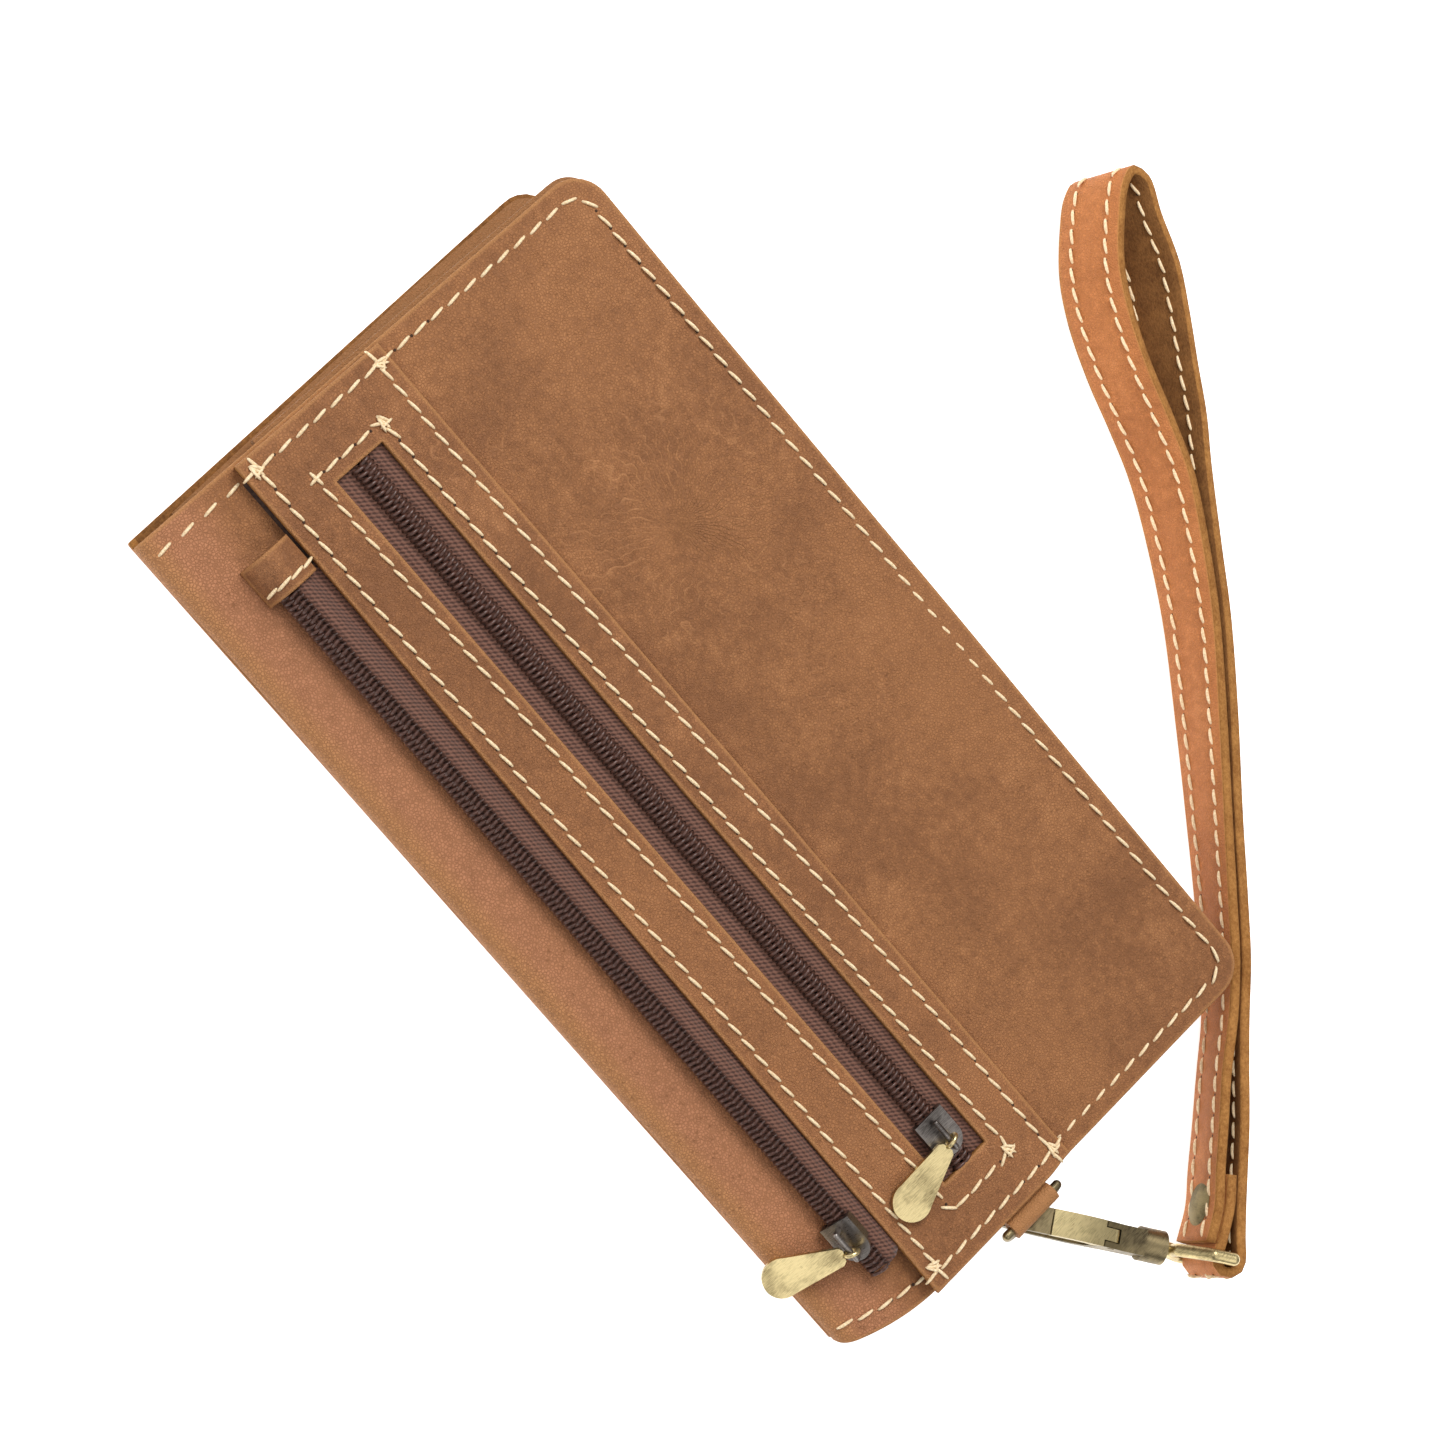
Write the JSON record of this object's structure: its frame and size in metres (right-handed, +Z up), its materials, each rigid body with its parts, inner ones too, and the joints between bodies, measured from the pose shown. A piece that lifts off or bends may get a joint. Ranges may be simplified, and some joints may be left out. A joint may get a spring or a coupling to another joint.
{
  "type": "bifold clutch wallet with wrist strap",
  "caption": "Long leather bifold clutch wallet with a raised zip-pocket band, a second zip pocket below it, and a wrist strap on a swivel snap hook.",
  "frame": {"origin": "centre of the wallet's underside, on the table", "axes": "+X along the wallet towards the wrist strap, +Y from the spine to the free edge, +Z up out of the front cover"},
  "size_m": [0.245, 0.2117, 0.0207],
  "materials": {
    "grain_leather": "tan-brown waxed pull-up leather, satin",
    "strap_leather": "orange-tan grain outside, dark brown suede inside",
    "inner_leather": "tan leather, satin",
    "lining_cloth": "dark brown woven lining",
    "zip_tape": "brown ribbed woven tape",
    "zip_coil": "dark brown nylon coil",
    "antique_brass": "brushed antique brass with dark patina",
    "gunmetal": "dark nickel with bright worn edges",
    "spring_steel": "plain spring wire"
  },
  "bodies": {
    "back_cover": {"back_cover": "grain_leather", "back_inner_panel": "inner_leather", "card_pocket_upper": "inner_leather", "card_pocket_middle": "inner_leather", "card_pocket_lower": "inner_leather"},
    "spine": {"spine_leather": "grain_leather"},
    "front_cover": {"front_cover": "grain_leather", "front_inner_panel": "inner_leather", "note_pocket_panel": "inner_leather", "pocket_band": "grain_leather", "window_pocket_lining": "lining_cloth", "window_tape_upper": "zip_tape", "window_tape_lower": "zip_tape", "window_coil_upper": "zip_coil", "window_coil_lower": "zip_coil", "lower_pocket_lining": "lining_cloth", "lower_tape_upper": "zip_tape", "lower_tape_lower": "zip_tape", "lower_coil_upper": "zip_coil", "lower_coil_lower": "zip_coil", "zip_end_tab": "grain_leather", "d_ring_tab": "grain_leather"},
    "window_slider": {"window_slider": "gunmetal"},
    "window_pull": {"window_pull": "antique_brass"},
    "lower_slider": {"lower_slider": "gunmetal"},
    "lower_pull": {"lower_pull": "antique_brass"},
    "d_ring": {"d_ring": "antique_brass"},
    "snap_hook": {"snap_hook_body": "antique_brass", "gate_pin": "antique_brass", "gate_spring": "spring_steel"},
    "hook_gate": {"hook_gate": "antique_brass"},
    "swivel_eye": {"swivel_eye": "antique_brass"},
    "wrist_strap": {"wrist_strap": "strap_leather", "strap_rivet_cap": "antique_brass", "strap_rivet_base": "antique_brass"}
  },
  "joints": [
    {"name": "spine_fold_back", "type": "hinge", "parent": "back_cover", "child": "spine", "pos_m": [0, -0.0526, 0.00075], "axis": [1, 0, 0], "range_deg": [0, 85]},
    {"name": "spine_fold_front", "type": "hinge", "parent": "spine", "child": "front_cover", "pos_m": [0, -0.0526, 0.00541], "axis": [1, 0, 0], "range_deg": [0, 85]},
    {"name": "window_slider_travel", "type": "slide", "parent": "front_cover", "child": "window_slider", "axis": [1, 0, 0], "range_m": [-0.155, 0]},
    {"name": "window_pull_swing", "type": "hinge", "parent": "window_slider", "child": "window_pull", "pos_m": [0.0796, -0.01546, 0.01623], "axis": [-1, 0, 0], "range_deg": [0, 168]},
    {"name": "lower_slider_travel", "type": "slide", "parent": "front_cover", "child": "lower_slider", "axis": [1, 0, 0], "range_m": [-0.148, 0]},
    {"name": "lower_pull_swing", "type": "hinge", "parent": "lower_slider", "child": "lower_pull", "pos_m": [0.081, -0.04341, 0.01298], "axis": [-1, 0, 0], "range_deg": [0, 165]},
    {"name": "d_ring_swing", "type": "hinge", "parent": "front_cover", "child": "d_ring", "pos_m": [0.1021, -0.01077, 0.01218], "axis": [0, -0.9936, -0.1131], "range_deg": [0, 100]},
    {"name": "hook_swing", "type": "hinge", "parent": "d_ring", "child": "snap_hook", "pos_m": [0.10502, -0.01007, 0.00597], "axis": [0, -0.9936, -0.1131], "range_deg": [0, 30]},
    {"name": "gate_swing", "type": "hinge", "parent": "snap_hook", "child": "hook_gate", "pos_m": [0.11834, -0.00108, 0.01052], "axis": [0.5592, -0.829, 0], "range_deg": [0, 18], "stiffness_Nm_per_rad": 0.02, "springref_deg": -20.05},
    {"name": "eye_swivel", "type": "hinge", "parent": "snap_hook", "child": "swivel_eye", "pos_m": [0.12642, 0.00437, 0.00907], "axis": [0.8231, 0.5552, 0.1193], "continuous": true},
    {"name": "strap_swing", "type": "hinge", "parent": "swivel_eye", "child": "wrist_strap", "pos_m": [0.13712, 0.01159, 0.01062], "axis": [-0.0989, -0.0667, 0.9929], "range_deg": [-100, 0]}
  ],
  "couplings": [
    {"joint": "spine_fold_front", "follows": "spine_fold_back", "ratio": 1}
  ]
}
